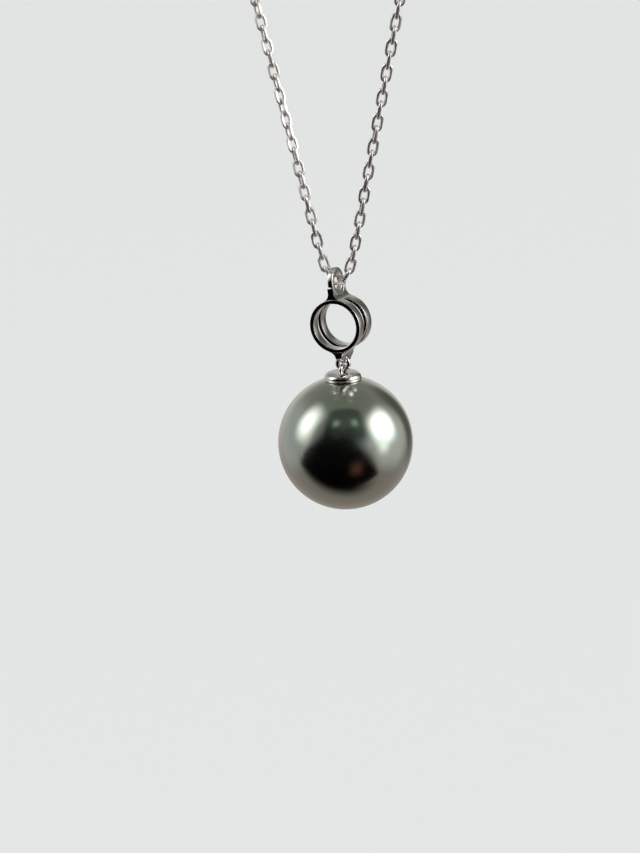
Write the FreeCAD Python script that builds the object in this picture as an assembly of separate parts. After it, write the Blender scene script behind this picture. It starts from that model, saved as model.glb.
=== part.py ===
"""Pearl pendant on a fine trace chain, with its double ring bail and a bolt ring clasp.

Millimetres, +Z up, front towards -Y. The origin is the top of the inside of the wound chain, where the
necklace hangs on a peg or hook. The pendant hangs below it, at the bottom of the chain's V.
"""

import FreeCAD, Part
import math
import os

V = FreeCAD.Vector
X_AXIS = V(1, 0, 0)
Y_AXIS = V(0, 1, 0)
Z_AXIS = V(0, 0, 1)

# Chain: a trace chain of oval links, about 423 mm long, hanging in a V from its wound upper part
CHAIN_D = 0.95
V_HALF_DEG = 13.2
COIL_MID_R = 8.7
LANE_STEP = CHAIN_D * math.sqrt(3) / 2
APEX_R = 1.1
APEX_CORNERS = 3
CLASP_ABOVE_COIL = 11.4

# Thread ties that hold the wound turns together
TIE_THICK = 0.25
TIE_WIDTH = 0.9
TIE_GAP = 0.01
TIE_DEG = 18.0

# Bail: two thin bands side by side, joined by a neck plate above and a lug below
BAND_OUTER_R = 2.08
BAND_WALL = 0.32
BAND_WIDTH = 0.85
BAIL_WIDTH = 2.36
BAIL_LEAN_DEG = 5.0
BAIL_X = 0.10
PLATE_THICK = 0.46
EDGE_ROUND = 0.05
LOOP_OUTER_R = 1.10
LOOP_HOLE_R = 0.65
LOOP_THICK = 0.42
LOOP_ABOVE_BAND = 1.20
LOOP_ABOVE_CHAIN = 0.62
NECK_TOP_BELOW_LOOP = 0.35
FLARE_TOP = 0.41
FLARE_SPREAD = 0.44
FLARE_BEND = 0.12
FLARE_BASE_R = 1.76
LUG_HOLE_R = 0.27
LUG_EYE_R = 0.42
LUG_HOLE_BELOW_BAND = 0.62
LUG_SHOULDER_BELOW_BAND = 0.45
LUG_TOP_R = 1.46

# Connector: one small link between the lug and the pearl cup's eye
LINK_WIRE_R = 0.17
LINK_HALF_WIDTH = 0.46
LINK_STRAIGHT = 0.04
LINK_BELOW_HOLE = 0.03
EYE_WIRE_R = 0.14
EYE_HALF_WIDTH = 0.36
EYE_HEIGHT = 0.48
CONTACT_GAP = 0.012

# Pearl: bead nucleus, nacre, cup and the grooved post glued in the drilled hole
PEARL_R = 5.25
NUCLEUS_R = 4.35
HOLE_R = 0.45
HOLE_DEPTH = 6.0
DRILL_CLEAR = 1.0
POST_R = 0.40
POST_LENGTH = 5.2
POST_GROOVES = 5
GROOVE_R = 0.10
GROOVE_STEP = 0.85
GROOVE_SINK = 0.05
CUP_R = 1.40
CUP_RISE = 0.45
CUP_RIM = 0.16
CUP_FLARE = 0.05
CUP_BULGE = 0.11
CUP_GAP = 0.02
CUP_SOCKET_DEPTH = 0.25
CUP_BOSS_R = 0.62

# Bolt ring clasp, lying level on top of the wound chain, between the chain's two end rings
CLASP_R = 2.25
TUBE_R = 0.50
TUBE_BORE_R = 0.37
BOLT_R = 0.33
MOUTH_DEG = (35.0, 85.0)
BORE_END_DEG = 265.0
BOLT_DEG = (32.5, 145.0)
BOLT_TRAVEL_DEG = 50.0
SOCKET_DEG = 6.0
KNOB_DEG = 104.0
KNOB_STEM_R = 0.12
KNOB_BALL_R = 0.28
KNOB_BALL_AT = 3.05
SLOT_MARGIN_DEG = 5.0
SLOT_HALF_HEIGHT = 0.16
SLOT_CLEAR = 0.2
SPRING_R = 0.27
SPRING_WIRE_R = 0.045
SPRING_TURNS = 16
SPRING_END_GAP_DEG = 1.5
TAIL_LOOP_R = 0.50
TAIL_WIRE_R = 0.17
TAIL_SINK = 0.12
RING_B_R = 1.00
RING_B_WIRE_R = 0.17
RING_A_R = 0.62
RING_A_WIRE_R = 0.15
RING_GAP = 0.02

COIL_HALF_R = LANE_STEP + CHAIN_D / 2
COIL_Z = COIL_HALF_R - COIL_MID_R
SIN_V = math.sin(math.radians(V_HALF_DEG))
COS_V = math.cos(math.radians(V_HALF_DEG))
V_POINT_Z = COIL_Z - COIL_MID_R / SIN_V
APEX_CENTRE_Z = V_POINT_Z + APEX_R / SIN_V
APEX_Z = APEX_CENTRE_Z - APEX_R
LOOP_ARM = BAND_OUTER_R + LOOP_ABOVE_BAND
LEAN = math.radians(BAIL_LEAN_DEG)
RING_Z = APEX_Z + LOOP_ABOVE_CHAIN - LOOP_HOLE_R - LOOP_ARM * math.cos(LEAN)
RING_CENTRE = V(BAIL_X, 0, RING_Z)
CLASP_CENTRE = V(0, 0, COIL_Z + CLASP_ABOVE_COIL)


def polar(centre, radius, degrees):
    """A point in the XZ plane through a centre, at an angle from +X towards +Z."""
    turn = math.radians(degrees)
    return centre + V(radius * math.cos(turn), 0, radius * math.sin(turn))


def wheel(centre, radius, degrees):
    """A point in the XY plane through a centre, at an angle from +X towards +Y."""
    turn = math.radians(degrees)
    return centre + V(radius * math.cos(turn), radius * math.sin(turn), 0)


def disc(centre, normal, radius):
    return Part.Face(Part.Wire(Part.makeCircle(radius, centre, normal)))


def outline_face(points):
    return Part.Face(Part.makePolygon(points + points[:1]))


def rounded_path(points):
    """Straight runs joined by tangent arcs, each as large as its two runs allow."""
    edges = []
    start = points[0]
    for before, corner, after in zip(points, points[1:], points[2:]):
        inward = (before - corner).normalize()
        outward = (after - corner).normalize()
        half_turn = (math.pi - inward.getAngle(outward)) / 2
        shorter = min((before - corner).Length, (after - corner).Length)
        radius = 0.45 * shorter / math.tan(half_turn)
        reach = radius * math.tan(half_turn)
        bisector = (inward + outward).normalize()
        enter = corner + inward * reach
        leave = corner + outward * reach
        middle = corner + bisector * (radius / math.cos(half_turn) - radius)
        edges.append(Part.LineSegment(start, enter).toShape())
        edges.append(Part.Arc(enter, middle, leave).toShape())
        print(f"chain arc radius {radius:.2f} mm, turn {math.degrees(2 * half_turn):.1f} degrees")
        start = leave
    edges.append(Part.LineSegment(start, points[-1]).toShape())
    return Part.Wire(edges)


def tube(points, diameter):
    """A closed round tube along a rounded path, and the path's length."""
    path = rounded_path(points)
    section = Part.Wire(Part.makeCircle(diameter / 2, points[0], points[1] - points[0]))
    solid = path.makePipeShell([section], True, False)
    expected = path.Length * math.pi * diameter**2 / 4
    print(f"chain run {path.Length:.2f} mm, volume {solid.Volume:.3f}, section times length {expected:.3f}")
    return solid, path.Length


def coil_outline(margin):
    """The hexagon of lanes that the wound chain fills, as a face across the coil, grown by a margin."""
    centre = V(COIL_MID_R, 0, COIL_Z)
    turns = [math.radians(60 * i) for i in range(6)]
    corners = [centre + V(-math.sin(t), math.cos(t), 0) * CHAIN_D for t in turns]
    radius = CHAIN_D / 2 + margin
    edges = []
    for i in range(6):
        here = corners[i]
        there = corners[(i + 1) % 6]
        after = corners[(i + 2) % 6]
        side = (there - here).normalize()
        out = side.cross(Z_AXIS)
        out_next = (after - there).normalize().cross(Z_AXIS)
        if out.dot(here - centre) < 0:
            out = out * -1
            out_next = out_next * -1
        edges.append(Part.LineSegment(here + out * radius, there + out * radius).toShape())
        middle = there + (out + out_next).normalize() * radius
        edges.append(Part.Arc(there + out * radius, middle, there + out_next * radius).toShape())
    return Part.Face(Part.Wire(edges))


def coil_slice(face, from_deg, to_deg):
    """A face across the coil at +X, turned about the coil's own axis between two angles."""
    centre = V(0, 0, COIL_Z)
    start = face.copy()
    start.rotate(centre, Y_AXIS * -1, from_deg)
    return start.revolve(centre, Y_AXIS * -1, to_deg - from_deg)


def straight_end(ring_x, side):
    """Where a taut end of the chain leaves the coil's outer lane for its end ring, and its angle there."""
    lane = COIL_MID_R + LANE_STEP
    far = math.hypot(ring_x, CLASP_ABOVE_COIL)
    ring_deg = math.degrees(math.atan2(CLASP_ABOVE_COIL, ring_x))
    leave_deg = ring_deg - side * math.degrees(math.acos(lane / far))
    return leave_deg, polar(V(0, 0, COIL_Z), lane, leave_deg), V(ring_x, 0, CLASP_CENTRE.z)


def make_clasp_rings():
    """The chain's two end rings, upright, and the x of the wire that each chain end is hooked on."""
    right_x = CLASP_R - TUBE_R - RING_B_WIRE_R - RING_GAP + RING_B_R
    tail_x = -(CLASP_R + TUBE_R + TAIL_LOOP_R + TAIL_WIRE_R - TAIL_SINK)
    left_x = tail_x - TAIL_LOOP_R + TAIL_WIRE_R + RING_A_WIRE_R + RING_GAP - RING_A_R
    right = Part.makeTorus(RING_B_R, RING_B_WIRE_R, CLASP_CENTRE + V(right_x, 0, 0), Y_AXIS)
    left = Part.makeTorus(RING_A_R, RING_A_WIRE_R, CLASP_CENTRE + V(left_x, 0, 0), Y_AXIS)
    return left, right, left_x - RING_A_R, right_x + RING_B_R, tail_x


def make_chain(left_hook_x, right_hook_x):
    """The taut V, the wound turns as one ring, and the two short ends up to the clasp."""
    coil = coil_slice(coil_outline(0), 0, 360)
    left_top = V(-COIL_MID_R * COS_V, 0, COIL_Z - COIL_MID_R * SIN_V)
    right_top = V(COIL_MID_R * COS_V, 0, COIL_Z - COIL_MID_R * SIN_V)
    corner_turn = (180 - 2 * V_HALF_DEG) / APEX_CORNERS
    corner_r = APEX_R / math.cos(math.radians(corner_turn / 2))
    first = 180 + V_HALF_DEG + corner_turn / 2
    apex = [polar(V(0, 0, APEX_CENTRE_Z), corner_r, first + corner_turn * i) for i in range(APEX_CORNERS)]
    strands, hanging = tube([left_top] + apex + [right_top], CHAIN_D)
    ends = []
    for hook_x, side in ((left_hook_x, -1), (right_hook_x, 1)):
        leave_deg, start, end = straight_end(hook_x, side)
        start = start + V(0, side * CHAIN_D / 2, 0)
        ends.append(Part.makeCylinder(CHAIN_D / 2, (end - start).Length, start, end - start).cut(coil))
        print(f"straight end {(end - start).Length:.1f} mm, leaves the coil at {leave_deg:.1f} degrees")
    print(f"hanging chain {hanging:.1f} mm")
    return strands.cut(coil), coil, ends[0], ends[1]


def make_tie(middle_deg):
    """Thread wrapped round the wound turns."""
    sleeve = coil_outline(TIE_GAP + TIE_THICK).cut(coil_outline(TIE_GAP))
    half = math.degrees(TIE_WIDTH / COIL_MID_R) / 2
    return coil_slice(sleeve, middle_deg - half, middle_deg + half)


def make_band(front_y):
    outer = Part.makeCylinder(BAND_OUTER_R, BAND_WIDTH, RING_CENTRE + V(0, front_y, 0), Y_AXIS)
    inner = Part.makeCylinder(BAND_OUTER_R - BAND_WALL, BAND_WIDTH, RING_CENTRE + V(0, front_y, 0), Y_AXIS)
    band = outer.cut(inner)
    rims = [e for e in band.Edges if isinstance(e.Curve, Part.Circle)]
    return band.makeFillet(EDGE_ROUND, rims)


def bail_blank():
    """A cylinder as wide as the bail and as large as its bands, for trimming what is soldered to them."""
    return Part.makeCylinder(BAND_OUTER_R, BAIL_WIDTH * 2, RING_CENTRE - V(0, BAIL_WIDTH, 0), Y_AXIS)


def flared_profile(height, sign):
    """The outline seen from the front of a plate that stands up (sign 1) or hangs down (sign -1) from
    the bands: parallel sides that flare into the bands at their root."""
    half = PLATE_THICK / 2
    spread = half + FLARE_SPREAD
    foot_z = math.sqrt(BAND_OUTER_R**2 - spread**2)

    def at(x, z):
        return RING_CENTRE + V(x, -BAIL_WIDTH / 2, sign * z)

    tip = BAND_OUTER_R + height
    neck = BAND_OUTER_R + FLARE_TOP
    bend_x = half + FLARE_BEND
    bend_z = BAND_OUTER_R + FLARE_BEND
    edges = [
        Part.LineSegment(at(-half, tip), at(half, tip)).toShape(),
        Part.LineSegment(at(half, tip), at(half, neck)).toShape(),
        Part.Arc(at(half, neck), at(bend_x, bend_z), at(spread, foot_z)).toShape(),
        Part.LineSegment(at(spread, foot_z), at(0, FLARE_BASE_R)).toShape(),
        Part.LineSegment(at(0, FLARE_BASE_R), at(-spread, foot_z)).toShape(),
        Part.Arc(at(-spread, foot_z), at(-bend_x, bend_z), at(-half, neck)).toShape(),
        Part.LineSegment(at(-half, neck), at(-half, tip)).toShape(),
    ]
    return Part.Face(Part.Wire(edges))


def make_loop():
    centre = RING_CENTRE + V(-LOOP_THICK / 2, 0, LOOP_ARM)
    loop = Part.makeCylinder(LOOP_OUTER_R, LOOP_THICK, centre, X_AXIS)
    loop = loop.cut(Part.makeCylinder(LOOP_HOLE_R, LOOP_THICK, centre, X_AXIS))
    rims = [e for e in loop.Edges if isinstance(e.Curve, Part.Circle)]
    return loop.makeFillet(EDGE_ROUND * 2, rims)


def make_neck(loop):
    neck = flared_profile(LOOP_ABOVE_BAND - NECK_TOP_BELOW_LOOP, 1).extrude(Y_AXIS * BAIL_WIDTH)
    seat = Part.makeCylinder(LOOP_OUTER_R, PLATE_THICK * 2, RING_CENTRE + V(-PLATE_THICK, 0, LOOP_ARM), X_AXIS)
    return neck.cut(seat).cut(bail_blank()).cut(loop)


def make_lug():
    """A plate under both bands, square at its shoulders, that tapers to a drilled eye."""
    lug = flared_profile(LUG_HOLE_BELOW_BAND + LUG_EYE_R, -1).extrude(Y_AXIS * BAIL_WIDTH)
    eye = RING_CENTRE - V(PLATE_THICK * 2, 0, BAND_OUTER_R + LUG_HOLE_BELOW_BAND)
    half = BAIL_WIDTH / 2
    rise = LUG_HOLE_BELOW_BAND - LUG_SHOULDER_BELOW_BAND
    touch = math.atan2(rise, half) - math.acos(LUG_EYE_R / math.hypot(rise, half))
    touch_y = LUG_EYE_R * math.cos(touch)
    touch_z = LUG_EYE_R * math.sin(touch)
    top_z = RING_CENTRE.z - LUG_TOP_R - eye.z
    web = outline_face([
        eye + V(0, -half, top_z),
        eye + V(0, half, top_z),
        eye + V(0, half, rise),
        eye + V(0, touch_y, touch_z),
        eye + V(0, -touch_y, touch_z),
        eye + V(0, -half, rise),
    ]).extrude(X_AXIS * PLATE_THICK * 4)
    web = web.fuse(Part.makeCylinder(LUG_EYE_R, PLATE_THICK * 4, eye, X_AXIS))
    hole = Part.makeCylinder(LUG_HOLE_R, PLATE_THICK * 4, eye, X_AXIS)
    return lug.common(web).cut(hole).cut(bail_blank()).removeSplitter()


def make_connector():
    """The link, leaning from the lug's hole to the eye, with its top and the eye's top."""
    drop = BAND_OUTER_R + LUG_HOLE_BELOW_BAND + LINK_BELOW_HOLE
    top = RING_CENTRE + V(math.sin(LEAN) * drop, 0, -math.cos(LEAN) * drop)
    tall = LINK_STRAIGHT + 2 * LINK_HALF_WIDTH
    reach = tall - LINK_WIRE_R - EYE_WIRE_R - CONTACT_GAP
    tilt = math.asin((top.x - BAIL_X) / reach)
    up = V(math.sin(tilt), 0, math.cos(tilt))
    across = V(math.cos(tilt), 0, -math.sin(tilt))
    low = top - up * (tall - LINK_HALF_WIDTH)
    high = top - up * LINK_HALF_WIDTH
    wide = across * LINK_HALF_WIDTH
    path = Part.Wire([
        Part.LineSegment(low + wide, high + wide).toShape(),
        Part.Arc(high + wide, high + up * LINK_HALF_WIDTH, high - wide).toShape(),
        Part.LineSegment(high - wide, low - wide).toShape(),
        Part.Arc(low - wide, low - up * LINK_HALF_WIDTH, low + wide).toShape(),
    ])
    section = Part.Wire(Part.makeCircle(LINK_WIRE_R, low + wide, up))
    link = path.makePipeShell([section], True, False)
    return link, top, top - up * reach


def make_eye(eye_top, cup_top_z):
    """A wire staple across the connector's foot, its legs soldered to the cup."""
    centre = eye_top - V(0, 0, EYE_HALF_WIDTH)
    bow = disc(centre + V(0, EYE_HALF_WIDTH, 0), Z_AXIS, EYE_WIRE_R).revolve(centre, X_AXIS, 180)
    legs = [
        Part.makeCylinder(EYE_WIRE_R, centre.z - cup_top_z, V(centre.x, side * EYE_HALF_WIDTH, cup_top_z))
        for side in (-1, 1)
    ]
    return bow.fuse(legs).removeSplitter()


def make_cup(pearl_centre):
    """A shallow dome that fits the pearl, drilled part of the way through for its post."""
    inner_r = PEARL_R + CUP_GAP
    half = (CUP_R + POST_R) / 2
    socket_edge = V(POST_R, 0, math.sqrt(inner_r**2 - POST_R**2))
    inner_mid = V(half, 0, math.sqrt(inner_r**2 - half**2))
    rim_in = V(CUP_R, 0, math.sqrt(inner_r**2 - CUP_R**2))
    rim_out = V(CUP_R + CUP_FLARE, 0, rim_in.z + CUP_RIM)
    boss = V(CUP_BOSS_R, 0, PEARL_R + CUP_RISE)
    dome_mid = (boss + rim_out) / 2 + V(CUP_BULGE, 0, CUP_BULGE / 2)
    socket_top = PEARL_R + CUP_SOCKET_DEPTH
    edges = [
        Part.Arc(socket_edge, inner_mid, rim_in).toShape(),
        Part.LineSegment(rim_in, rim_out).toShape(),
        Part.Arc(rim_out, dome_mid, boss).toShape(),
        Part.LineSegment(boss, V(0, 0, boss.z)).toShape(),
        Part.LineSegment(V(0, 0, boss.z), V(0, 0, socket_top)).toShape(),
        Part.LineSegment(V(0, 0, socket_top), V(POST_R, 0, socket_top)).toShape(),
        Part.LineSegment(V(POST_R, 0, socket_top), socket_edge).toShape(),
    ]
    profile = Part.Face(Part.Wire(edges))
    profile.translate(pearl_centre)
    return profile.revolve(pearl_centre, Z_AXIS, 360)


def make_post(pearl_centre):
    """The grooved post, from the cup's socket down into the pearl."""
    top = pearl_centre + V(0, 0, PEARL_R + CUP_SOCKET_DEPTH)
    post = Part.makeCylinder(POST_R, POST_LENGTH, top - V(0, 0, POST_LENGTH))
    for i in range(POST_GROOVES):
        at = pearl_centre + V(0, 0, PEARL_R - GROOVE_STEP * (i + 1))
        post = post.cut(Part.makeTorus(POST_R + GROOVE_SINK, GROOVE_R, at, Z_AXIS))
    return post


def make_pearl(pearl_centre):
    depth = HOLE_DEPTH + DRILL_CLEAR
    hole = Part.makeCylinder(HOLE_R, depth, pearl_centre + V(0, 0, PEARL_R - HOLE_DEPTH))
    bead = Part.makeSphere(NUCLEUS_R, pearl_centre)
    nacre = Part.makeSphere(PEARL_R, pearl_centre).cut(bead).cut(hole)
    return nacre, bead.cut(hole)


def ring_arc(radius, from_deg, to_deg):
    """A stretch of round bar bent to the clasp's circle."""
    start = wheel(CLASP_CENTRE, CLASP_R, from_deg)
    direction = wheel(V(0, 0, 0), 1, from_deg + 90)
    return disc(start, direction, radius).revolve(CLASP_CENTRE, Z_AXIS, to_deg - from_deg)


def make_clasp(tail_x):
    mouth_start, mouth_end = MOUTH_DEG
    far_end = mouth_start + 360
    body = ring_arc(TUBE_R, mouth_end, far_end)
    body = body.cut(ring_arc(TUBE_BORE_R, mouth_end - 1, BORE_END_DEG))
    body = body.cut(ring_arc(TUBE_BORE_R, far_end - SOCKET_DEG, far_end + 1))
    slot = outline_face([
        CLASP_CENTRE + V(CLASP_R, 0, -SLOT_HALF_HEIGHT),
        CLASP_CENTRE + V(CLASP_R + TUBE_R + SLOT_CLEAR, 0, -SLOT_HALF_HEIGHT),
        CLASP_CENTRE + V(CLASP_R + TUBE_R + SLOT_CLEAR, 0, SLOT_HALF_HEIGHT),
        CLASP_CENTRE + V(CLASP_R, 0, SLOT_HALF_HEIGHT),
    ])
    slot.rotate(CLASP_CENTRE, Z_AXIS, KNOB_DEG - SLOT_MARGIN_DEG)
    body = body.cut(slot.revolve(CLASP_CENTRE, Z_AXIS, BOLT_TRAVEL_DEG + 2 * SLOT_MARGIN_DEG))
    bolt = ring_arc(BOLT_R, *BOLT_DEG)
    outward = wheel(V(0, 0, 0), 1, KNOB_DEG)
    seat = wheel(CLASP_CENTRE, CLASP_R, KNOB_DEG)
    knob = Part.makeCylinder(KNOB_STEM_R, KNOB_BALL_AT - CLASP_R, seat, outward)
    knob = knob.fuse(Part.makeSphere(KNOB_BALL_R, CLASP_CENTRE + outward * KNOB_BALL_AT)).cut(bolt)
    tail = Part.makeTorus(TAIL_LOOP_R, TAIL_WIRE_R, CLASP_CENTRE + V(tail_x, 0, 0), Z_AXIS).cut(body)
    return body, bolt, knob, tail


def make_spring():
    """The bolt's return spring as a row of close wire turns, bent to the clasp's circle."""
    start = BOLT_DEG[1] + SPRING_END_GAP_DEG
    end = BORE_END_DEG - SPRING_END_GAP_DEG
    turns = []
    for i in range(SPRING_TURNS):
        at = start + (end - start) * i / (SPRING_TURNS - 1)
        centre = wheel(CLASP_CENTRE, CLASP_R, at)
        turns.append(Part.makeTorus(SPRING_R, SPRING_WIRE_R, centre, wheel(V(0, 0, 0), 1, at + 90)))
    return Part.makeCompound(turns)


def lean(shape):
    """Turns a bail piece about its bands' axis, top to the left, as the bail rests on the chain."""
    leaned = shape.copy()
    leaned.rotate(RING_CENTRE, Y_AXIS, -BAIL_LEAN_DEG)
    return leaned


os.makedirs("parts", exist_ok=True)

end_ring_left, end_ring_right, left_hook_x, right_hook_x, tail_x = make_clasp_rings()
chain_strands, chain_coil, chain_end_left, chain_end_right = make_chain(left_hook_x, right_hook_x)
bail_loop = make_loop()
connector_link, link_top, eye_top = make_connector()
cup_top_z = eye_top.z - EYE_HEIGHT
pearl_centre = V(BAIL_X, 0, cup_top_z - CUP_RISE - PEARL_R)
pearl_cup = make_cup(pearl_centre)
pearl_nacre, pearl_nucleus = make_pearl(pearl_centre)
clasp_body, clasp_bolt, clasp_knob, clasp_tail_loop = make_clasp(tail_x)

nodes = {
    "chain_strands": chain_strands,
    "chain_coil": chain_coil,
    "chain_end_left": chain_end_left,
    "chain_end_right": chain_end_right,
    "coil_tie_left": make_tie(180 - TIE_DEG),
    "coil_tie_right": make_tie(TIE_DEG),
    "end_ring_left": end_ring_left,
    "end_ring_right": end_ring_right,
    "clasp_body": clasp_body,
    "clasp_tail_loop": clasp_tail_loop,
    "clasp_bolt": clasp_bolt,
    "clasp_knob": clasp_knob,
    "clasp_spring": make_spring(),
    "bail_loop": lean(bail_loop),
    "bail_neck": lean(make_neck(bail_loop)),
    "bail_front_band": lean(make_band(-BAIL_WIDTH / 2)),
    "bail_rear_band": lean(make_band(BAIL_WIDTH / 2 - BAND_WIDTH)),
    "bail_lug": lean(make_lug()),
    "connector_link": connector_link,
    "cup_eye": make_eye(eye_top, cup_top_z).cut(pearl_cup),
    "pearl_cup": pearl_cup,
    "cup_post": make_post(pearl_centre),
    "pearl_nacre": pearl_nacre,
    "pearl_nucleus": pearl_nucleus,
}

for name, shape in nodes.items():
    if shape.ShapeType == "Compound" and len(shape.Solids) == 1:
        shape = shape.Solids[0]
    shape.exportStep(f"parts/{name}.step")
    box = shape.BoundBox
    print(
        f"{name:18s} solids {len(shape.Solids)} valid {shape.isValid()} volume {shape.Volume:9.4f} "
        f"x {box.XMin:7.3f} {box.XMax:7.3f} y {box.YMin:7.3f} {box.YMax:7.3f} z {box.ZMin:8.3f} {box.ZMax:8.3f}"
    )

print(f"apex of the chain z {APEX_Z:.3f}, ring centre z {RING_Z:.3f}, pearl centre z {pearl_centre.z:.3f}")
print(f"link top {link_top.x:.3f} {link_top.z:.3f}, eye top {eye_top.x:.3f} {eye_top.z:.3f}")
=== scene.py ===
"""Looks of the pearl pendant necklace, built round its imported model. Metres, +Z up, front towards -Y."""

import bmesh
import bpy
import math
import numpy as np
from mathutils import Matrix, Vector


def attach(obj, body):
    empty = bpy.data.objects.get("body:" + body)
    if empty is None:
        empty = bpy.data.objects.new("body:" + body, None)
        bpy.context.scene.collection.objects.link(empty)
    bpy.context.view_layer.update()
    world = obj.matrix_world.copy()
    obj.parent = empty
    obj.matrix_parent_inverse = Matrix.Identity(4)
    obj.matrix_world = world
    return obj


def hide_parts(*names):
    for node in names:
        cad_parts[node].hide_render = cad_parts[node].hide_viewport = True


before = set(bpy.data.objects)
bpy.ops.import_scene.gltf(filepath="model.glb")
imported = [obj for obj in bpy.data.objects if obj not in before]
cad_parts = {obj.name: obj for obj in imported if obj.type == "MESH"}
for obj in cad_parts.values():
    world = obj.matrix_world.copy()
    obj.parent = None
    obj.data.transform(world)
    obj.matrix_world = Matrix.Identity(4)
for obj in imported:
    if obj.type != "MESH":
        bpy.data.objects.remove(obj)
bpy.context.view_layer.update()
scene = bpy.context.scene
MM = 0.001

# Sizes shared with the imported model, in millimetres
CHAIN_D = 0.95
V_HALF_DEG = 13.2
COIL_MID_R = 8.7
LANE_STEP = CHAIN_D * math.sqrt(3) / 2
COIL_Z = LANE_STEP + CHAIN_D / 2 - COIL_MID_R
CLASP_Z = 3.998
LEFT_HOOK_X = -4.701
RIGHT_HOOK_X = 3.560
LEAVE_LEFT_DEG = 151.8
LEAVE_RIGHT_DEG = 35.5
APEX_CENTRE_Z = -40.684
APEX_CORNER_R = 1.22
APEX_DEG = (218.8, 270.0, 321.2)
BAIL_X = 0.10
RING_Z = -45.082
LEAN_DEG = -5.0
PEARL_Z = -54.573
PEARL_R = 5.25
NUCLEUS_R = 4.35
DRILL_R = 0.45
LINK_TOP = (0.338, -47.802)
EYE_TOP_Z = -48.393
CUP_TOP_Z = -48.873

# The wound chain: a point every WIND_STEP_DEG, where along the winding it changes lane, and how many of its
# diameters it stays straight above its lowest bend
WIND_STEP_DEG = 10.0
WIND_TURNS = 3
LANE_CHANGES_DEG = [0, 55, 95, 405, 445, 760, 800]
STRAIGHT_DIAMETERS = 6
SPLINE_ORDER = 3
SPLINE_STEPS = 12

# Chain links, in millimetres
PITCH = 0.933
LINK_WIRE_R = 0.13
LINK_HALF_LONG = 0.595
LINK_HALF_WIDE = 0.33
LINK_FLAT_SIDE = 0.405
LINK_FLAT_FACE = 0.120
LINK_OVAL = 1.25
HANGING_LINK_STEPS = (28, 12)
WOUND_LINK_STEPS = (20, 8)

# How far each link is turned about the chain, in degrees, by its distance from the chain's lowest point
HANGING_LENGTH = 33
TWIST_FADE_FROM = 27
WOUND_TWIST = 45
TWIST_PLAY = 12.0
LEFT_TWIST = ((0, 5, 10, 11, 15, 16, 18.4, 19.2), (0, 0, 18, 35, 35, 5, 5, 26))

# Thread ties, in millimetres
TIE_LEFT_DEG = 162
TIE_RIGHT_DEG = 18
TIE_WRAPS = 5
TIE_HALF_WIDTH = 0.40
THREAD_R = 0.10
THREAD_OUT = CHAIN_D / 2 + 0.12
LANES_ROUND_MIDDLE = 6

# Bail, in millimetres
BAND_IN_R = 1.76
BAND_OUT_R = 2.08
BAND_WIDTH = 0.85
BAND_EDGE = 0.045
FRONT_BAND_Y = -1.18
REAR_BAND_Y = 0.33
LOOP_IN_R = 0.65
LOOP_OUT_R = 1.10
LOOP_HALF_WIDTH = 0.21
LOOP_EDGE = 0.08
LOOP_ABOVE_RING = 3.28

# Connector link, eye and cup, in millimetres
CONNECTOR_HALF_WIDTH = 0.46
CONNECTOR_STRAIGHT = 0.04
CONNECTOR_WIRE_R = 0.17
EYE_HALF_WIDTH = 0.36
EYE_WIRE_R = 0.14
EYE_SUNK = 0.03
CUP_GAP = 0.02
CUP_RIM_R = 1.40
CUP_RIM_WIRE_R = 0.075
CUP_RIM_OUT = 0.005
CUP_HOLE_R = 0.40
CUP_RISE = 0.45
CUP_BOSS_R = 0.62
CUP_BOSS_FLOOR = 0.25
CUP_ROUNDNESS = 0.8
CUP_RIM_DEG = (-80, 70)
DOME_START = 0.06

# Clasp rings, in millimetres: middle along X, radius of the ring, radius of its wire
END_RING_LEFT = (-4.08, 0.62, 0.15)
END_RING_RIGHT = (2.56, 1.00, 0.17)
TAIL_RING = (-3.30, 0.50, 0.17)

# How finely the round meshes are divided, and how close points are welded, in metres
EDGE_STEPS = 6
RING_STEPS = 64
BAND_STEPS = 160
LOOP_STEPS = 96
CUP_STEPS = 128
PEARL_STEPS = 160
PEARL_ARC_STEPS = 120
NUCLEUS_ARC_STEPS = 40
CUP_ARC_STEPS = (14, 7, 24)
EYE_ARC_STEPS = 25
THREAD_ARC_STEPS = 7
THREAD_WIRE_STEPS = 10
RING_WIRE_STEPS = 18
EYE_WIRE_STEPS = 20
CONNECTOR_WIRE_STEPS = 24
LINK_SHARP_DEG = 28
WELD = 2e-7

# Camera
CAMERA_AZIMUTH = 25.0
CAMERA_ELEVATION = 16.0
CAMERA_ROLL = 2.5
CAMERA_DISTANCE = 0.157
CAMERA_LENS = 85.0
CAMERA_CLIP = (0.005, 100)
AIM_RIGHT = -1.99
AIM_UP = 1.21

rng = np.random.default_rng(7)


def camera_axes():
    """The camera's right, up and backward directions."""
    a, e, roll = (math.radians(v) for v in (CAMERA_AZIMUTH, CAMERA_ELEVATION, CAMERA_ROLL))
    back = Vector((math.sin(a) * math.cos(e), -math.cos(a) * math.cos(e), math.sin(e)))
    right = Vector((math.cos(a), math.sin(a), 0))
    up = back.cross(right)
    return right * math.cos(roll) - up * math.sin(roll), up * math.cos(roll) + right * math.sin(roll), back


def place_camera():
    """The camera, aimed a little beside the pearl's middle. AIM_RIGHT and AIM_UP are millimetres."""
    right, up, back = camera_axes()
    data = bpy.data.cameras.new("camera")
    data.lens = CAMERA_LENS
    data.clip_start, data.clip_end = CAMERA_CLIP
    camera = bpy.data.objects.new("camera", data)
    aim = Vector((BAIL_X, 0, PEARL_Z)) * MM + (right * AIM_RIGHT + up * AIM_UP) * MM
    camera.matrix_world = Matrix.Translation(aim + back * CAMERA_DISTANCE) @ Matrix(
        (right, up, back)
    ).transposed().to_4x4()
    scene.collection.objects.link(camera)
    scene.camera = camera


place_camera()


# ---- chain route ----


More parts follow.
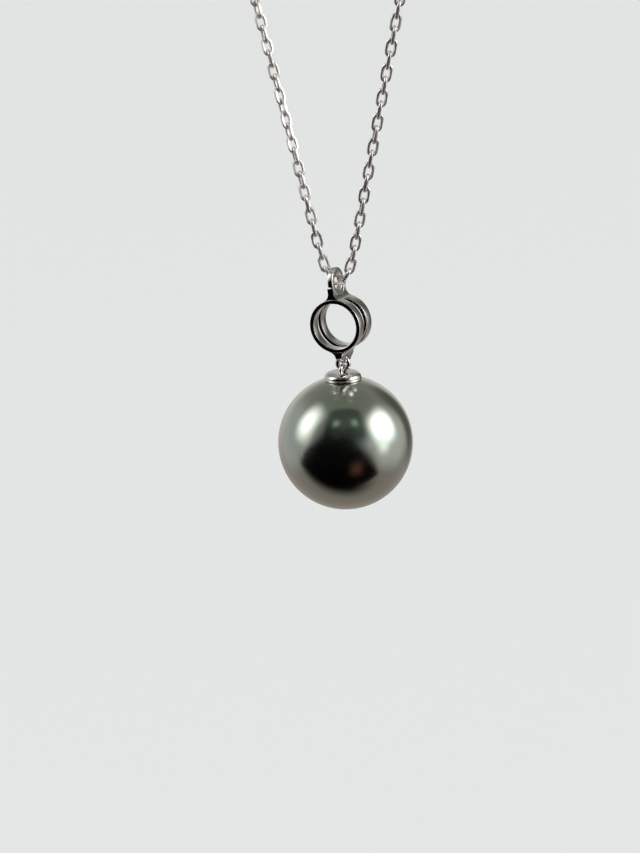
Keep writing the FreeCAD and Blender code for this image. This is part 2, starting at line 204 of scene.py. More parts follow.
def polar(centre_z, radius, degrees, y=0.0):
    """A point at a radius and angle about a centre on the Z axis."""
    turn = math.radians(degrees)
    return Vector((radius * math.cos(turn), y, centre_z + radius * math.sin(turn)))


def wound_half(side):
    """One half's wound turns, from the strand's top to its straight end, on four lanes in turn."""
    inner = COIL_MID_R - LANE_STEP
    outer = COIL_MID_R + LANE_STEP
    near = side * CHAIN_D / 2
    start = 180 + V_HALF_DEG if side < 0 else -V_HALF_DEG
    travel = WIND_TURNS * 360 + (start - LEAVE_LEFT_DEG if side < 0 else LEAVE_RIGHT_DEG - start)
    at = LANE_CHANGES_DEG + [travel]
    radii = [COIL_MID_R, COIL_MID_R, inner, inner, COIL_MID_R, COIL_MID_R, outer, outer]
    depth = [0, 0, near, near, side * CHAIN_D, side * CHAIN_D, near, near]
    turns = np.linspace(0, travel, round(travel / WIND_STEP_DEG) + 1)
    return [
        polar(COIL_Z, np.interp(s, at, radii), start + side * s, np.interp(s, at, depth)) for s in turns
    ]


def chain_route():
    """The chain's route from its left end ring to its right one, in millimetres."""
    left = wound_half(-1)
    right = wound_half(1)
    slope = Vector((math.sin(math.radians(V_HALF_DEG)), 0, -math.cos(math.radians(V_HALF_DEG))))
    corners = [polar(APEX_CENTRE_Z, APEX_CORNER_R, a) for a in APEX_DEG]
    above_left = corners[0] - slope * STRAIGHT_DIAMETERS * CHAIN_D
    above_right = corners[2] - Vector((-slope.x, 0, slope.z)) * STRAIGHT_DIAMETERS * CHAIN_D
    return (
        [Vector((LEFT_HOOK_X, 0, CLASP_Z))]
        + left[::-1]
        + [above_left]
        + corners
        + [above_right]
        + right
        + [Vector((RIGHT_HOOK_X, 0, CLASP_Z))]
    )


def spline_points(route):
    """The route as a smooth NURBS line, read back as close points in millimetres."""
    curve = bpy.data.curves.new("chain_line", "CURVE")
    curve.dimensions = "3D"
    spline = curve.splines.new("NURBS")
    spline.points.add(len(route) - 1)
    for point, place in zip(spline.points, route):
        point.co = (*place, 1)
    spline.order_u = SPLINE_ORDER
    spline.use_endpoint_u = True
    spline.resolution_u = SPLINE_STEPS
    holder = bpy.data.objects.new("chain_line", curve)
    line = bpy.data.meshes.new_from_object(holder)
    points = np.array([v.co for v in line.vertices])
    bpy.data.objects.remove(holder)
    bpy.data.curves.remove(curve)
    bpy.data.meshes.remove(line)
    return points


# ---- mesh helpers ----


def add_piece(name, verts, faces, body, material, stands_for=(), sharp_deg=35):
    """A smooth mesh piece from points in millimetres, riding on a body."""
    mesh = bpy.data.meshes.new(name)
    mesh.from_pydata([tuple(v) for v in np.asarray(verts) * MM], [], faces)
    edit = bmesh.new()
    edit.from_mesh(mesh)
    bmesh.ops.remove_doubles(edit, verts=edit.verts, dist=WELD)
    bmesh.ops.recalc_face_normals(edit, faces=edit.faces)
    edit.to_mesh(mesh)
    edit.free()
    mesh.shade_smooth()
    mesh.set_sharp_from_angle(angle=math.radians(sharp_deg))
    mesh.materials.append(material)
    piece = bpy.data.objects.new(name, mesh)
    scene.collection.objects.link(piece)
    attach(piece, body)
    if stands_for:
        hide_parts(*stands_for)
    return piece


def grid(rows, wrap):
    """Points and faces of a surface through closed rows of points, wrapped end to end or capped."""
    rows = np.asarray(rows)
    m, n = rows.shape[:2]
    faces = []
    for i in range(m if wrap else m - 1):
        j = (i + 1) % m
        for k in range(n):
            faces.append((i * n + k, i * n + (k + 1) % n, j * n + (k + 1) % n, j * n + k))
    if not wrap:
        faces.append(tuple(range(n)))
        faces.append(tuple((m - 1) * n + k for k in range(n)))
    return rows.reshape(-1, 3), faces


def lathe(profile, centre, axis, steps):
    """A closed profile of (radius, height) points turned about an axis."""
    axis = Vector(axis).normalized()
    side = axis.orthogonal().normalized()
    other = axis.cross(side)
    rows = []
    for i in range(steps):
        turn = 2 * math.pi * i / steps
        out = side * math.cos(turn) + other * math.sin(turn)
        rows.append([Vector(centre) + out * r + axis * h for r, h in profile])
    return grid(rows, True)


def sweep(path, radius, around, closed):
    """A round wire along a path, without twist."""
    path = [Vector(p) for p in path]
    count = len(path)
    tangents = []
    for i in range(count):
        before = path[(i - 1) % count] if closed or i else path[0]
        after = path[(i + 1) % count] if closed or i < count - 1 else path[-1]
        tangents.append((after - before).normalized())
    normal = tangents[0].orthogonal().normalized()
    rows = []
    for point, tangent in zip(path, tangents):
        normal = (normal - tangent * normal.dot(tangent)).normalized()
        side = tangent.cross(normal)
        turns = [2 * math.pi * k / around for k in range(around)]
        rows.append([point + (normal * math.cos(t) + side * math.sin(t)) * radius for t in turns])
    return grid(rows, closed)


def arc(centre, radius, from_deg, to_deg, steps):
    """Points (x, y) on an arc."""
    return [
        (
            centre[0] + radius * math.cos(math.radians(a)),
            centre[1] + radius * math.sin(math.radians(a)),
        )
        for a in np.linspace(from_deg, to_deg, steps)
    ]


def rounded_box(r_in, r_out, h_low, h_high, edge):
    """A rectangular section with rounded corners, as a profile."""
    return (
        arc((r_out - edge, h_high - edge), edge, 0, 90, EDGE_STEPS)
        + arc((r_in + edge, h_high - edge), edge, 90, 180, EDGE_STEPS)
        + arc((r_in + edge, h_low + edge), edge, 180, 270, EDGE_STEPS)
        + arc((r_out - edge, h_low + edge), edge, 270, 360, EDGE_STEPS)
    )


def leaned(vector):
    """A direction that leans with the bail."""
    return Matrix.Rotation(math.radians(LEAN_DEG), 3, "Y") @ Vector(vector)


# ---- materials ----

# Noise and wave scales are in cycles per metre, bump heights in metres. A bump is given as its height and its
# strength, and NACRE_CLOUD and NACRE_RIPPLE as a noise's scale and detail.
METAL_GRAIN = 2600.0
METAL_CLOUD_SHARE = 0.2
METAL_MARK_DETAIL = 8.0
METAL_CLOUD_STOPS = (0.35, 0.62)
METAL_MARK_STOPS = (0.3, 0.75)
METAL_BUMP = (0.000004, 0.25)

# The nacre's own colour face on (0), turning paler and warmer towards the rim (1) as a painted rim reflection
NACRE_COLOUR_AND_RIM_SHEEN = [
    (0.0, (0.40, 0.43, 0.39)),
    (0.35, (0.46, 0.48, 0.44)),
    (0.62, (0.56, 0.55, 0.51)),
    (0.9, (0.70, 0.68, 0.64)),
]
NACRE_CLOUD = (260.0, 3.0)
NACRE_TINT = [(0.3, (0.86, 0.93, 0.90)), (0.7, (1.0, 0.97, 0.93))]
NACRE_POLISH_SCALE = 900.0
NACRE_POLISH_STOPS = (0.3, 0.7)
NACRE_ROUGHNESS = (0.155, 0.195)
NACRE_COAT = 0.3
NACRE_COAT_ROUGHNESS = 0.10
NACRE_RIPPLE = (420.0, 2.0)
NACRE_BUMP = (0.00004, 0.10)

SHELL_BAND_SCALE = 900.0
SHELL_BAND_DISTORTION = 2.0
SHELL_COLOURS = [(0.2, (0.62, 0.57, 0.48)), (0.8, (0.80, 0.77, 0.70))]
SHELL_ROUGHNESS = 0.4

THREAD_TWIST_SCALE = 2600.0
THREAD_TWIST_DISTORTION = 1.5
THREAD_FUZZ_SCALE = 9000.0
THREAD_COLOURS = [(0.3, (0.62, 0.60, 0.55)), (0.7, (0.83, 0.81, 0.76))]
THREAD_ROUGHNESS = 0.85
THREAD_SHEEN = 0.3
THREAD_BUMP = (0.00003, 0.6)


def new_material(name):
    material = bpy.data.materials.new(name)
    material.use_nodes = True
    nodes = material.node_tree.nodes
    return material, nodes, material.node_tree.links, nodes["Principled BSDF"]


def object_noise(nodes, links, scale, detail=4.0):
    """Noise fixed to the piece, at a scale in cycles per metre."""
    place = nodes.new("ShaderNodeTexCoord")
    noise = nodes.new("ShaderNodeTexNoise")
    noise.inputs["Scale"].default_value = scale
    noise.inputs["Detail"].default_value = detail
    links.new(place.outputs["Object"], noise.inputs["Vector"])
    return noise.outputs["Fac"]


def ramp(nodes, links, value, stops):
    """A colour that runs through the stops as the value goes from 0 to 1."""
    node = nodes.new("ShaderNodeValToRGB")
    while len(node.color_ramp.elements) < len(stops):
        node.color_ramp.elements.new(0.5)
    for element, (at, colour) in zip(node.color_ramp.elements, stops):
        element.position = at
        element.color = (*colour, 1)
    links.new(value, node.inputs["Fac"])
    return node.outputs["Color"]


def grey(value):
    return (value, value, value)


def bump(nodes, links, height, distance, strength, shader):
    """Relief from a value, on a shader's normal."""
    node = nodes.new("ShaderNodeBump")
    node.inputs["Distance"].default_value = distance
    node.inputs["Strength"].default_value = strength
    links.new(height, node.inputs["Height"])
    links.new(node.outputs["Normal"], shader.inputs["Normal"])


def metal(name, light, dark, rough_low, rough_high):
    """Polished metal with faint tarnish, fine handling marks and uneven polish."""
    material, nodes, links, shader = new_material(name)
    shader.inputs["Metallic"].default_value = 1.0
    cloud = object_noise(nodes, links, METAL_GRAIN * METAL_CLOUD_SHARE)
    marks = object_noise(nodes, links, METAL_GRAIN, METAL_MARK_DETAIL)
    colours = list(zip(METAL_CLOUD_STOPS, (dark, light)))
    links.new(ramp(nodes, links, cloud, colours), shader.inputs["Base Color"])
    polish = list(zip(METAL_MARK_STOPS, (grey(rough_low), grey(rough_high))))
    links.new(ramp(nodes, links, marks, polish), shader.inputs["Roughness"])
    bump(nodes, links, marks, *METAL_BUMP, shader)
    return material


def nacre_material():
    """Dark nacre: clouded grey-green, turned paler and warmer at the rim by a painted rim reflection, with a
    satin lustre.
    """
    material, nodes, links, shader = new_material("nacre")
    # Painted rim reflection: the base colour turns paler and warmer as the surface turns away from the view
    weight = nodes.new("ShaderNodeLayerWeight")
    weight.inputs["Blend"].default_value = 0.5
    body = ramp(nodes, links, weight.outputs["Facing"], NACRE_COLOUR_AND_RIM_SHEEN)
    cloud = object_noise(nodes, links, *NACRE_CLOUD)
    tint = ramp(nodes, links, cloud, NACRE_TINT)
    mix = nodes.new("ShaderNodeMix")
    mix.data_type = "RGBA"
    mix.blend_type = "MULTIPLY"
    mix.inputs["Factor"].default_value = 1.0
    links.new(body, mix.inputs["A"])
    links.new(tint, mix.inputs["B"])
    links.new(mix.outputs["Result"], shader.inputs["Base Color"])
    shader.inputs["Metallic"].default_value = 1.0
    polish = [(at, grey(rough)) for at, rough in zip(NACRE_POLISH_STOPS, NACRE_ROUGHNESS)]
    marks = object_noise(nodes, links, NACRE_POLISH_SCALE)
    links.new(ramp(nodes, links, marks, polish), shader.inputs["Roughness"])
    shader.inputs["Coat Weight"].default_value = NACRE_COAT
    shader.inputs["Coat Roughness"].default_value = NACRE_COAT_ROUGHNESS
    bump(nodes, links, object_noise(nodes, links, *NACRE_RIPPLE), *NACRE_BUMP, shader)
    return material


def shell_material():
    """Banded shell of the bead inside the pearl."""
    material, nodes, links, shader = new_material("shell_bead")
    place = nodes.new("ShaderNodeTexCoord")
    bands = nodes.new("ShaderNodeTexWave")
    bands.inputs["Scale"].default_value = SHELL_BAND_SCALE
    bands.inputs["Distortion"].default_value = SHELL_BAND_DISTORTION
    links.new(place.outputs["Object"], bands.inputs["Vector"])
    links.new(ramp(nodes, links, bands.outputs["Fac"], SHELL_COLOURS), shader.inputs["Base Color"])
    shader.inputs["Roughness"].default_value = SHELL_ROUGHNESS
    return material


def thread_material():
    """Twisted cotton thread."""
    material, nodes, links, shader = new_material("tie_thread")
    place = nodes.new("ShaderNodeTexCoord")
    twist = nodes.new("ShaderNodeTexWave")
    twist.wave_type = "BANDS"
    twist.bands_direction = "DIAGONAL"
    twist.inputs["Scale"].default_value = THREAD_TWIST_SCALE
    twist.inputs["Distortion"].default_value = THREAD_TWIST_DISTORTION
    links.new(place.outputs["Object"], twist.inputs["Vector"])
    fuzz = object_noise(nodes, links, THREAD_FUZZ_SCALE)
    links.new(ramp(nodes, links, fuzz, THREAD_COLOURS), shader.inputs["Base Color"])
    shader.inputs["Roughness"].default_value = THREAD_ROUGHNESS
    shader.inputs["Sheen Weight"].default_value = THREAD_SHEEN
    bump(nodes, links, twist.outputs["Fac"], *THREAD_BUMP, shader)
    return material


CHAIN_METAL = metal("chain_metal", (0.94, 0.90, 0.885), (0.84, 0.80, 0.785), 0.36, 0.48)
WHITE_METAL = metal("white_metal", (0.80, 0.775, 0.76), (0.66, 0.635, 0.62), 0.07, 0.16)
SPRING_STEEL = metal("spring_steel", (0.55, 0.55, 0.56), (0.42, 0.42, 0.44), 0.22, 0.34)
NACRE = nacre_material()
SHELL = shell_material()
THREAD = thread_material()

# ---- chain ----


def link_template(along, around):
    """One oval link lying in the XZ plane, long in X, with diamond-cut flats on its faces and sides."""
    turns = 2 * np.pi * (np.arange(along) + 0.5) / along
    line = np.stack([
        LINK_HALF_LONG * np.sign(np.cos(turns)) * np.abs(np.cos(turns)) ** (1 / LINK_OVAL),
        np.zeros(along),
        LINK_HALF_WIDE * np.sign(np.sin(turns)) * np.abs(np.sin(turns)) ** (1 / LINK_OVAL),
    ], axis=1)
    verts, faces = sweep(line, LINK_WIRE_R, around, True)
    verts = np.array([tuple(v) for v in verts])
    verts[:, 1] = np.clip(verts[:, 1], -LINK_FLAT_FACE, LINK_FLAT_FACE)
    verts[:, 2] = np.clip(verts[:, 2], -LINK_FLAT_SIDE, LINK_FLAT_SIDE)
    return verts, np.array(faces)


def smooth_step(value, low, high):
    """0 below low, 1 above high, eased between."""
    t = min(max((value - low) / (high - low), 0), 1)
    return t * t * (3 - 2 * t)


def make_chain():
    """Every link of the chain in one mesh, each turned a quarter against the next."""
    line = spline_points(chain_route())
    steps = np.linalg.norm(np.diff(line, axis=0), axis=1)
    along = np.concatenate([[0], np.cumsum(steps)])
    total = along[-1]
    lowest = along[np.argmin(line[:, 2])]
    fine = link_template(*HANGING_LINK_STEPS)
    plain = link_template(*WOUND_LINK_STEPS)
    azimuth = math.radians(CAMERA_AZIMUTH)
    strand_front = Vector((math.sin(azimuth), -math.cos(azimuth), 0))
    all_verts, all_faces, offset = [], [], 0

    def at(s):
        return Vector(np.interp(s, along, line[:, i]) for i in range(3))

    for side, length in ((-1, lowest), (1, total - lowest)):
        count = round(length / PITCH - 0.5)
        pitch = length / (count + 0.5)
        for j in range(0 if side > 0 else 1, count + 1):
            middle = lowest + side * j * pitch
            a, b = at(middle - side * pitch / 2), at(middle + side * pitch / 2)
            tangent = (b - a).normalized()
            height = j * pitch
            wound = smooth_step(height, TWIST_FADE_FROM, HANGING_LENGTH)
            front = strand_front.lerp(Vector((0, -1, 0)), wound)
            turned = np.interp(height, *LEFT_TWIST) if side < 0 else WOUND_TWIST * wound
            angle = math.radians(90 * (j % 2) + turned + rng.uniform(-TWIST_PLAY, TWIST_PLAY))
            flat = (front - tangent * front.dot(tangent)).normalized()
            across = tangent.cross(flat)
            normal = flat * math.cos(angle) + across * math.sin(angle)
            width = tangent.cross(normal)
            verts, faces = fine if height < HANGING_LENGTH else plain
            turn = np.array([tangent, normal, width])
            all_verts.append(verts @ turn + np.array((a + b) / 2))
            all_faces.append(faces + offset)
            offset += len(verts)
    piece = add_piece(
        "chain_links",
        np.concatenate(all_verts),
        np.concatenate(all_faces).tolist(),
        "chain",
        CHAIN_METAL,
        ("chain_strands", "chain_coil", "chain_end_left", "chain_end_right"),
        sharp_deg=LINK_SHARP_DEG,
    )
    return piece, line * MM, total * MM


def make_tie(name, middle_deg):
    """Thread wound round the coil's turns, side by side."""
    lane_turn = math.radians(360 / LANES_ROUND_MIDDLE)
    corner_deg = 180 / LANES_ROUND_MIDDLE
    verts, faces, offset = [], [], 0
    for wrap in np.linspace(-TIE_HALF_WIDTH, TIE_HALF_WIDTH, TIE_WRAPS):
        deg = middle_deg + math.degrees(wrap / COIL_MID_R)
        outline = []
        for i in range(LANES_ROUND_MIDDLE):
            turn = lane_turn * i
            corner = (-CHAIN_D * math.sin(turn), CHAIN_D * math.cos(turn))
            facing = math.degrees(math.atan2(corner[1], corner[0]))
            outline += arc(
                corner, THREAD_OUT, facing - corner_deg, facing + corner_deg, THREAD_ARC_STEPS
            )
        path = [polar(COIL_Z, COIL_MID_R + r, deg, y) for r, y in outline]
        v, f = sweep(path, THREAD_R, THREAD_WIRE_STEPS, True)
        verts.append(v)
        faces += [tuple(i + offset for i in face) for face in f]
        offset += len(v)
    node = name.removesuffix("_thread")
    return add_piece(name, np.concatenate(verts), faces, "chain", THREAD, (node,))


ties = [
    make_tie("coil_tie_left_thread", TIE_LEFT_DEG),
    make_tie("coil_tie_right_thread", TIE_RIGHT_DEG),
]
chain, chain_line, chain_length = make_chain()

# ---- bail ----

ring_centre = Vector((BAIL_X, 0, RING_Z))
lean_up = leaned((0, 0, 1))
lean_across = leaned((1, 0, 0))


def make_band(name, low_y, node):
    """One thin band of the bail."""
    profile = rounded_box(BAND_IN_R, BAND_OUT_R, low_y, low_y + BAND_WIDTH, BAND_EDGE)
    verts, faces = lathe(profile, ring_centre, (0, 1, 0), BAND_STEPS)
    add_piece(name, verts, faces, "bail", WHITE_METAL, (node,))


def make_loop():
    """The loop that the chain runs through."""
    profile = rounded_box(LOOP_IN_R, LOOP_OUT_R, -LOOP_HALF_WIDTH, LOOP_HALF_WIDTH, LOOP_EDGE)
    verts, faces = lathe(profile, ring_centre + lean_up * LOOP_ABOVE_RING, lean_across, LOOP_STEPS)
    add_piece("hanging_loop", verts, faces, "bail", WHITE_METAL, ("bail_loop",))


make_band("front_band", FRONT_BAND_Y, "bail_front_band")
make_band("rear_band", REAR_BAND_Y, "bail_rear_band")
make_loop()

# ---- connector and cup ----


def make_connector():
    """The oval link between the lug and the cup's eye."""
    top = Vector((LINK_TOP[0], 0, LINK_TOP[1]))
    eye = Vector((BAIL_X, 0, EYE_TOP_Z))
    up = (top - eye).normalized()
    across = Vector((up.z, 0, -up.x))
    half, straight = CONNECTOR_HALF_WIDTH, CONNECTOR_STRAIGHT
    middle = top - up * (half + straight / 2)
    path = []
    for i in range(RING_STEPS):
        turn = 2 * math.pi * i / RING_STEPS
        shift = math.copysign(straight / 2, math.sin(turn) + 1e-9)
        path.append(middle + across * half * math.cos(turn) + up * (half * math.sin(turn) + shift))
    verts, faces = sweep(path, CONNECTOR_WIRE_R, CONNECTOR_WIRE_STEPS, True)
    add_piece("oval_link", verts, faces, "connector", WHITE_METAL, ("connector_link",))


def make_eye():
    """The wire staple on the cup."""
    half = EYE_HALF_WIDTH
    bow = [(half * math.cos(t), half * math.sin(t)) for t in np.linspace(0, math.pi, EYE_ARC_STEPS)]
    centre_z = EYE_TOP_Z - half
    path = [Vector((BAIL_X, half, CUP_TOP_Z - EYE_SUNK))]
    path += [Vector((BAIL_X, y, centre_z + z)) for y, z in bow]
    path += [Vector((BAIL_X, -half, CUP_TOP_Z - EYE_SUNK))]
    verts, faces = sweep(path, EYE_WIRE_R, EYE_WIRE_STEPS, False)
    add_piece("cup_eye_wire", verts, faces, "pearl", WHITE_METAL, ("cup_eye",))


def make_cup():
    """A shallow domed cap with a raised boss for the eye and a rounded rim."""
    inner = PEARL_R + CUP_GAP
    inside_steps, rim_steps, dome_steps = CUP_ARC_STEPS
    radii = np.linspace(CUP_HOLE_R, CUP_RIM_R, inside_steps)
    inside = [(r, math.sqrt(inner**2 - r**2)) for r in radii]
    rim_middle = (CUP_RIM_R + CUP_RIM_OUT, inside[-1][1] + CUP_RIM_WIRE_R)
    rim = arc(rim_middle, CUP_RIM_WIRE_R, *CUP_RIM_DEG, rim_steps)
    start_r, start_z = rim[-1]
    dome = []
    for t in np.linspace(DOME_START, 1, dome_steps):
        turn = t * math.pi / 2
        out, high = max(math.cos(turn), 0) ** CUP_ROUNDNESS, math.sin(turn) ** CUP_ROUNDNESS
        radius = CUP_BOSS_R + (start_r - CUP_BOSS_R) * out
        dome.append((radius, start_z + (PEARL_R + CUP_RISE - start_z) * high))
    floor_z = PEARL_R + CUP_BOSS_FLOOR
    top = [(0.0, PEARL_R + CUP_RISE), (0.0, floor_z), (CUP_HOLE_R, floor_z)]
    verts, faces = lathe(inside + rim + dome + top, (BAIL_X, 0, PEARL_Z), (0, 0, 1), CUP_STEPS)
    add_piece("cup_cap", verts, faces, "pearl", WHITE_METAL, ("pearl_cup",))


make_connector()
make_eye()
make_cup()


def make_nacre():
    """The nacre layer over its bead, drilled at the top."""
    top = math.degrees(math.acos(DRILL_R / PEARL_R))
    low = math.degrees(math.acos(DRILL_R / NUCLEUS_R))
    outside = arc((0, 0), PEARL_R, top, -90, PEARL_ARC_STEPS)
    profile = outside + arc((0, 0), NUCLEUS_R, -90, low, NUCLEUS_ARC_STEPS)
    verts, faces = lathe(profile, (BAIL_X, 0, PEARL_Z), (0, 0, 1), PEARL_STEPS)
    add_piece("pearl_skin", verts, faces, "pearl", NACRE, ("pearl_nacre",))


make_nacre()

# ---- clasp ----


def flat_ring(name, place, normal, material, node):
    """A plain wire ring, given as its middle along X, its radius and its wire's radius."""
    middle_x, radius, wire = place
    centre = Vector((middle_x, 0, CLASP_Z))
    normal = Vector(normal)
    side = normal.orthogonal().normalized()
    other = normal.cross(side)
    turns = [2 * math.pi * i / RING_STEPS for i in range(RING_STEPS)]
    path = [centre + side * radius * math.cos(t) + other * radius * math.sin(t) for t in turns]
    verts, faces = sweep(path, wire, RING_WIRE_STEPS, True)
    add_piece(name, verts, faces, "chain", material, (node,))


flat_ring("jump_ring_left", END_RING_LEFT, (0, 1, 0), CHAIN_METAL, "end_ring_left")
flat_ring("jump_ring_right", END_RING_RIGHT, (0, 1, 0), CHAIN_METAL, "end_ring_right")
flat_ring("tail_ring", TAIL_RING, (0, 0, 1), WHITE_METAL, "clasp_tail_loop")

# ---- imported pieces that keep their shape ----

KEPT = {
    "bail_neck": WHITE_METAL,
    "bail_lug": WHITE_METAL,
    "cup_post": WHITE_METAL,
    "clasp_body": WHITE_METAL,
    "clasp_bolt": WHITE_METAL,
    "clasp_knob": WHITE_METAL,
    "clasp_spring": SPRING_STEEL,
    "pearl_nucleus": SHELL,
}
for node, material in KEPT.items():
    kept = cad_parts[node]
    kept.data.materials.clear()
    kept.data.materials.append(material)

# ---- stage ----


# Bright, dim and black panels that only reflections see, placed round the pearl. Lengths are in metres.
# Each panel: direction in the camera's axes, distance, width, height, colour, strength, share of soft edge.
PANELS = {
    "softbox_right": ((0.87, 0.37, 0.33), 0.60, 0.74, 0.68, (1.0, 1.0, 0.99), 6.0, 0.5),
    "glow_right": ((0.93, 0.08, 0.16), 0.70, 1.25, 1.45, (1.0, 0.98, 0.95), 0.75, 0.35),
    "sparkle_right": ((0.92, -0.06, 0.39), 0.55, 0.34, 0.34, (1.0, 1.0, 1.0), 2.2, 0.5),
    "softbox_left": ((-0.84, 0.44, 0.22), 0.60, 0.54, 0.80, (1.0, 0.99, 0.99), 3.4, 0.5),
    "glow_left": ((-0.93, 0.12, -0.30), 0.70, 0.95, 1.30, (0.96, 0.99, 1.0), 0.55, 0.35),
    "lamp_a": ((-0.268, 0.508, 0.818), 0.28, 0.075, 0.09, (0.7, 1.0, 0.75), 0.8, 0.5),
    "lamp_b": ((0.24, 0.535, 0.81), 0.28, 0.075, 0.09, (0.7, 1.0, 0.75), 0.8, 0.5),
    "warm_patch": ((0.283, -0.70, 0.655), 0.30, 0.16, 0.20, (1.0, 0.42, 0.25), 0.14, 0.5),
    "dim_behind": ((0.62, 0.34, -0.70), 0.75, 0.62, 1.25, (0.10, 0.11, 0.09), 1.0, 0.35),
}
BLACK = (0.0, 0.0, 0.0)
DIM_GREEN = (0.010, 0.030, 0.014)
# Each card: its middle and the directions of its width and height, all as (right, up, back) in the camera's
# axes, then width, height, colour, strength, share of soft edge.
CARDS = {
    "dark_front": ((-0.15, -1.00, 0.25), (0.927, 0.375, 0), (-0.695, 0.719, 0), 2.06, 2.40, BLACK, 0.0, 0.07),
    "dark_middle": ((-0.04, 0.10, 0.24), (1, 0, 0), (0, 1, 0), 0.26, 0.30, BLACK, 0.0, 0.45),
    "dark_below": ((-0.40, -0.35, 0.25), (1, 0, 0), (0, 0, 1), 1.52, 0.76, BLACK, 0.0, 0.22),
    "dim_front": ((-0.02, 0.36, 0.42), (1, 0, 0), (0, 1, 0), 0.80, 0.86, DIM_GREEN, 1.0, 0.22),
}
FLOOR_HALF = 30
FLOOR_Z = -0.30
FLOOR_COLOUR = (0.74, 0.75, 0.745, 1)
FLOOR_GLOW = 0.12
FLOOR_ROUGHNESS = 0.9
SKY_COLOUR = (0.755, 0.768, 0.762, 1)
# What reflections see of the sky, from straight down (0) to straight up (1)
REFLECTED_SKY = [
    (0.00, (0.30, 0.27, 0.235)),
    (0.30, (0.36, 0.33, 0.31)),
    (0.45, (0.55, 0.53, 0.51)),
    (0.56, (0.62, 0.63, 0.62)),
    (0.75, (0.30, 0.31, 0.28)),
    (1.00, (0.24, 0.26, 0.22)),
]
KEY_ENERGY = 0.7
KEY_SPREAD_DEG = 40
KEY_TILT_DEG = (35, 20, 0)


def stage_card(name, middle, right, up, width, height, colour, strength, soft_edge):
    """A flat panel that only reflections see. Its outer share soft_edge fades out."""
    middle, right, up = Vector(middle), Vector(right) * width / 2, Vector(up) * height / 2
    mesh = bpy.data.meshes.new(name)
    corners = [middle - right - up, middle + right - up, middle + right + up, middle - right + up]
    mesh.from_pydata([tuple(c) for c in corners], [], [(0, 1, 2, 3)])
    layer = mesh.uv_layers.new(name="across")
    for loop, place in zip(layer.data, ((0, 0), (1, 0), (1, 1), (0, 1))):
        loop.uv = place
    material = bpy.data.materials.new(name)
    material.use_nodes = True
    nodes, links = material.node_tree.nodes, material.node_tree.links
    nodes.clear()
    place = nodes.new("ShaderNodeTexCoord")
    split = nodes.new("ShaderNodeSeparateXYZ")
    links.new(place.outputs["UV"], split.inputs["Vector"])
    share = nodes.new("ShaderNodeMath")
    share.operation = "MULTIPLY"
    for i, axis in enumerate("XY"):
        edge = nodes.new("ShaderNodeMath")
        edge.operation = "PINGPONG"
        edge.inputs[1].default_value = 0.5
        links.new(split.outputs[axis], edge.inputs[0])
        fade = nodes.new("ShaderNodeMapRange")
        fade.interpolation_type = "SMOOTHSTEP"
        fade.inputs["From Max"].default_value = soft_edge
        links.new(edge.outputs["Value"], fade.inputs["Value"])
        links.new(fade.outputs["Result"], share.inputs[i])
    glow = nodes.new("ShaderNodeEmission")
    glow.inputs["Color"].default_value = (*colour, 1)
    glow.inputs["Strength"].default_value = strength
    clear = nodes.new("ShaderNodeBsdfTransparent")
    mix = nodes.new("ShaderNodeMixShader")
    links.new(share.outputs["Value"], mix.inputs["Fac"])
    links.new(clear.outputs["BSDF"], mix.inputs[1])
    links.new(glow.outputs["Emission"], mix.inputs[2])
    out = nodes.new("ShaderNodeOutputMaterial")
    links.new(mix.outputs["Shader"], out.inputs["Surface"])
    mesh.materials.append(material)
    card = bpy.data.objects.new(name, mesh)
    scene.collection.objects.link(card)
    card.visible_camera = False
    card.visible_diffuse = False
    card.visible_shadow = False
    card.visible_transmission = False


def place_panels():
    """The panels and cards, round the pearl."""
    right, up, back = camera_axes()
    pearl = Vector((BAIL_X, 0, PEARL_Z)) * MM

    def seen(direction):
        return right * direction[0] + up * direction[1] + back * direction[2]

    for name, (direction, distance, *look) in PANELS.items():
        out = seen(direction).normalized()
        side = Vector((0, 0, 1)).cross(out).normalized()
        stage_card(name, pearl + out * distance, side, out.cross(side), *look)
    for name, (middle, along, across, *look) in CARDS.items():
        stage_card(name, pearl + seen(middle), seen(along), seen(across), *look)


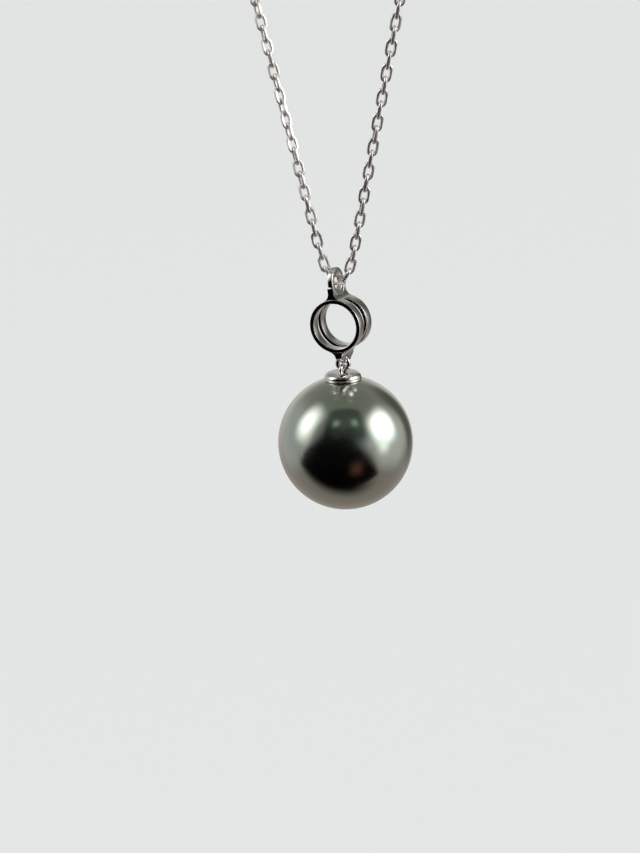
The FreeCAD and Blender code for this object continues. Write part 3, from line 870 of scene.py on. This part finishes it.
def make_floor():
    """A wide pale floor that reflections don't see."""
    material, _, _, shader = new_material("floor")
    shader.inputs["Base Color"].default_value = FLOOR_COLOUR
    shader.inputs["Roughness"].default_value = FLOOR_ROUGHNESS
    shader.inputs["Emission Color"].default_value = FLOOR_COLOUR
    shader.inputs["Emission Strength"].default_value = FLOOR_GLOW
    mesh = bpy.data.meshes.new("floor")
    corners = [(x * FLOOR_HALF, y * FLOOR_HALF, 0) for x, y in ((-1, -1), (1, -1), (1, 1), (-1, 1))]
    mesh.from_pydata(corners, [], [(0, 1, 2, 3)])
    mesh.materials.append(material)
    floor = bpy.data.objects.new("floor", mesh)
    floor.location = (0, 0, FLOOR_Z)
    floor.visible_glossy = False
    scene.collection.objects.link(floor)


def make_sky():
    """A plain pale sky, darker above and below where reflections see it."""
    world = bpy.data.worlds.new("studio")
    scene.world = world
    world.use_nodes = True
    nodes, links = world.node_tree.nodes, world.node_tree.links
    base = nodes["Background"]
    base.inputs["Color"].default_value = SKY_COLOUR
    glossy = nodes.new("ShaderNodeBackground")
    place = nodes.new("ShaderNodeTexCoord")
    split = nodes.new("ShaderNodeSeparateXYZ")
    links.new(place.outputs["Generated"], split.inputs["Vector"])
    height = nodes.new("ShaderNodeMapRange")
    height.inputs["From Min"].default_value = -1.0
    links.new(split.outputs["Z"], height.inputs["Value"])
    links.new(ramp(nodes, links, height.outputs["Result"], REFLECTED_SKY), glossy.inputs["Color"])
    path = nodes.new("ShaderNodeLightPath")
    mix = nodes.new("ShaderNodeMixShader")
    links.new(path.outputs["Is Glossy Ray"], mix.inputs["Fac"])
    links.new(base.outputs["Background"], mix.inputs[1])
    links.new(glossy.outputs["Background"], mix.inputs[2])
    links.new(mix.outputs["Shader"], nodes["World Output"].inputs["Surface"])


def make_key_light():
    """One soft light from above."""
    lamp = bpy.data.lights.new("key", "SUN")
    lamp.energy = KEY_ENERGY
    lamp.angle = math.radians(KEY_SPREAD_DEG)
    key = bpy.data.objects.new("key", lamp)
    key.rotation_euler = [math.radians(v) for v in KEY_TILT_DEG]
    scene.collection.objects.link(key)


place_panels()
make_floor()
make_sky()
make_key_light()
scene.view_settings.view_transform = "Standard"
